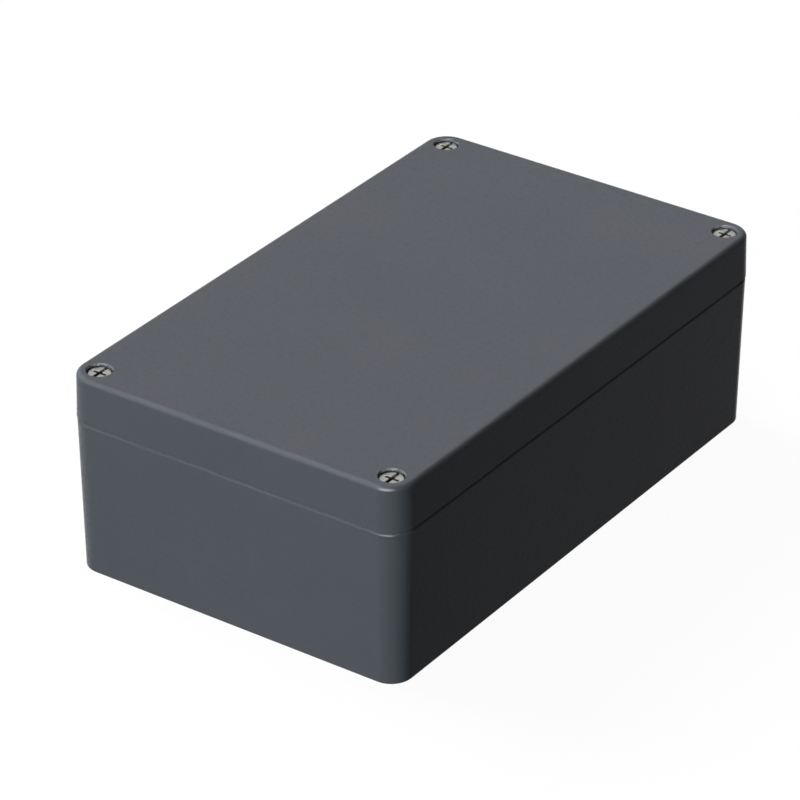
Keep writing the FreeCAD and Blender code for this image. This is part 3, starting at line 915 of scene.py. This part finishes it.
def soften(
    node,
    name,
    body,
    material,
    edge,
    steps,
    crisp_below=-math.inf,
    rims_above=math.inf,
    cut_lines=(),
):
    """A copy of a CAD node, merged to clean faces, with its sharp edges rounded.

    Edges that lie wholly below a height stay as they are, such as a mould's parting edge, and
    square rims above a height, machined or narrow, get a small share of the rounding. Large
    faces with openings are cut along lines across the piece, because the rounding would close
    the openings.
    """
    source = bmesh.new()
    source.from_mesh(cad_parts[node].data)
    bmesh.ops.remove_doubles(source, verts=source.verts, dist=SAME_PLACE * MM)
    bmesh.ops.dissolve_limit(
        source, angle_limit=FLAT, verts=source.verts, edges=source.edges
    )
    for normal, places in cut_lines:
        for place in places:
            bmesh.ops.bisect_plane(
                source,
                geom=[*source.verts, *source.edges, *source.faces],
                dist=ON_CUT * MM,
                plane_co=Vector(normal) * place * MM,
                plane_no=normal,
            )
    source.normal_update()
    rounds = source.edges.layers.float.new("bevel_weight_edge")
    for rim in source.edges:
        bend = rim.calc_face_angle(0.0)
        sharp = bend > SHARP_CORNER
        crisp = all(corner.co.z < crisp_below * MM for corner in rim.verts)
        high = all(corner.co.z > rims_above * MM for corner in rim.verts)
        share = RIM_SHARE if high and bend > SQUARE_CORNER else 1.0
        rim[rounds] = share if sharp and not crisp else 0.0
        rim.smooth = not (sharp and crisp)
    mesh = bpy.data.meshes.new(name)
    source.to_mesh(mesh)
    source.free()
    mesh.materials.clear()
    mesh.materials.append(material)
    for polygon in mesh.polygons:
        polygon.material_index = 0
        polygon.use_smooth = True
    piece = bpy.data.objects.new(name, mesh)
    bpy.context.scene.collection.objects.link(piece)
    rounding = piece.modifiers.new("rounded edges", "BEVEL")
    rounding.width = edge * MM
    rounding.segments = steps
    rounding.limit_method = "WEIGHT"
    rounding.use_clamp_overlap = False
    flat = piece.modifiers.new("flat faces", "WEIGHTED_NORMAL")
    flat.keep_sharp = True
    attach(piece, body)
    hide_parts(node)
    return piece


# Stage


def make_camera():
    """The camera at the photograph's place, looking down on the nearest corner."""
    azimuth, elevation = math.radians(AZIMUTH), math.radians(ELEVATION)
    back = Vector(
        (
            math.sin(azimuth) * math.cos(elevation),
            -math.cos(azimuth) * math.cos(elevation),
            math.sin(elevation),
        )
    )
    camera = bpy.data.objects.new("camera", bpy.data.cameras.new("camera"))
    camera.data.lens = LENS
    camera.data.sensor_width = SENSOR
    camera.data.clip_end = CLIP_END
    camera.location = (Vector(VIEW_TARGET) + back * VIEW_DISTANCE) * MM
    camera.rotation_euler = back.to_track_quat("Z", "Y").to_euler()
    bpy.context.scene.collection.objects.link(camera)
    bpy.context.scene.camera = camera


def add_sun(name, direction, strength, softness, colour):
    """A distant lamp that shines from a direction, as wide as its softness in degrees."""
    lamp = bpy.data.lights.new(name, "SUN")
    lamp.energy = strength
    lamp.color = linear(colour)[:3]
    lamp.angle = math.radians(softness)
    holder = bpy.data.objects.new(name, lamp)
    holder.rotation_euler = Vector(direction).to_track_quat("Z", "Y").to_euler()
    bpy.context.scene.collection.objects.link(holder)
    return holder


def seen(tree):
    """1 for rays that show a surface to the camera, straight or by gloss or glass, else 0."""
    path = add(tree, "ShaderNodeLightPath").outputs
    some = add(
        tree,
        "ShaderNodeMath",
        {0: path["Is Camera Ray"], 1: path["Is Glossy Ray"]},
        operation="MAXIMUM",
    )
    return add(
        tree, "ShaderNodeMath", {0: some, 1: path["Is Transmission Ray"]}, operation="MAXIMUM"
    )


def make_world():
    """A white surround where it is seen, and a dim even light on the object."""
    world = bpy.data.worlds.new("studio")
    bpy.context.scene.world = world
    world.use_nodes = True
    tree = world.node_tree
    tree.nodes.clear()
    shown = add(tree, "ShaderNodeBackground", {"Color": (1, 1, 1, 1), "Strength": 1.0})
    fill = add(tree, "ShaderNodeBackground", {"Color": (1, 1, 1, 1), "Strength": FILL})
    mix = add(tree, "ShaderNodeMixShader", {0: seen(tree), 1: fill, 2: shown})
    add(tree, "ShaderNodeOutputWorld", {0: mix})


def make_floor():
    """A plain white floor that keeps a soft part of the object's shadow."""
    bpy.ops.mesh.primitive_plane_add(size=FLOOR_SIZE, location=(0, 0, -FLOOR_DROP * MM))
    floor = bpy.context.object
    floor.name = "floor"
    material, tree, output = new_material("white_paper_floor")
    dim = add(tree, "ShaderNodeBsdfDiffuse", {"Color": (*[FLOOR_BOUNCE] * 3, 1)})
    shade = add(tree, "ShaderNodeBsdfDiffuse", {"Color": (*[SHADOW_SHARE] * 3, 1)})
    glow = add(tree, "ShaderNodeEmission", {"Strength": 1 - SHADOW_SHARE * FLOOR_LIGHT})
    lit = add(tree, "ShaderNodeAddShader", {0: shade, 1: glow})
    mix = add(tree, "ShaderNodeMixShader", {0: seen(tree), 1: dim, 2: lit})
    tree.links.new(mix.outputs[0], output.inputs[0])
    floor.data.materials.append(material)


casting = powder_coat()
steel = turned_steel()
zinc = zinc_plate()
rubber = seal_rubber()
nylon = moulded_nylon()
brass = pressed_brass()

soften(
    "base",
    "base_casting",
    "base",
    casting,
    CASTING_EDGE,
    CASTING_STEPS,
    rims_above=BASE_RIMS_ABOVE,
    cut_lines=CUT_LINES,
)
soften(
    "lid",
    "lid_casting",
    "lid",
    casting,
    CASTING_EDGE,
    CASTING_STEPS,
    crisp_below=LID_CRISP_BELOW,
    rims_above=LID_RIMS_ABOVE,
    cut_lines=CUT_LINES,
)
soften(
    "earth_clamp",
    "earth_clamp_brass",
    "base",
    brass,
    PRESSED_EDGE,
    PRESSED_STEPS,
)
soften(
    "earth_spring_washer",
    "spring_washer_zinc",
    "base",
    zinc,
    PRESSED_EDGE,
    PRESSED_STEPS,
)

lathe_tree = make_lathe()
screw_tree = make_screw_tree(lathe_tree)
ring_tree = make_ring_tree(lathe_tree)
seal_tree = make_seal_tree()

for number in SCREWS:
    ring, screw = f"retaining_ring_{number}", f"lid_screw_{number}"
    low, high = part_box(ring)
    grow_screw(screw + "_steel", screw, screw, "lid_screw", low.z, LID_SCREW)
    grown(
        ring + "_nylon",
        ring_tree,
        ring,
        ring,
        "retaining_ring",
        inner_radius=RING_BORE_RADIUS * MM,
        outer_radius=(high.x - low.x) / 2,
        thickness=high.z - low.z,
        edge=RING_EDGE * MM,
        place=((low.x + high.x) / 2, (low.y + high.y) / 2, low.z),
        finish=nylon,
    )

low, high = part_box("earth_screw")
earth_neck_end = high.z - (EARTH_SCREW["head_top"] + EARTH_NECK) * MM
grow_screw(
    "earth_screw_steel", "base", "earth_screw", "earth_steel", earth_neck_end, EARTH_SCREW
)

low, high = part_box("lid_gasket")
grown(
    "lid_gasket_rubber",
    seal_tree,
    "lid",
    "lid_gasket",
    "gasket",
    far_x=SEAL_FAR[0] * MM,
    far_y=SEAL_FAR[1] * MM,
    near_x=SEAL_NEAR[0] * MM,
    near_y=SEAL_NEAR[1] * MM,
    corner_radius=SEAL_RADIUS * MM,
    strip_width=SEAL_WIDTH * MM,
    strip_height=high.z - low.z,
    edge=SEAL_EDGE * MM,
    place=(0, 0, (low.z + high.z) / 2),
    finish=rubber,
)

make_camera()
make_world()
make_floor()
for name, lamp in LAMPS.items():
    add_sun(name, *lamp)
for name, card in CARDS.items():
    add_sun(name, *card).visible_diffuse = False

bpy.context.scene.view_settings.view_transform = "Standard"

low, high = cad_box
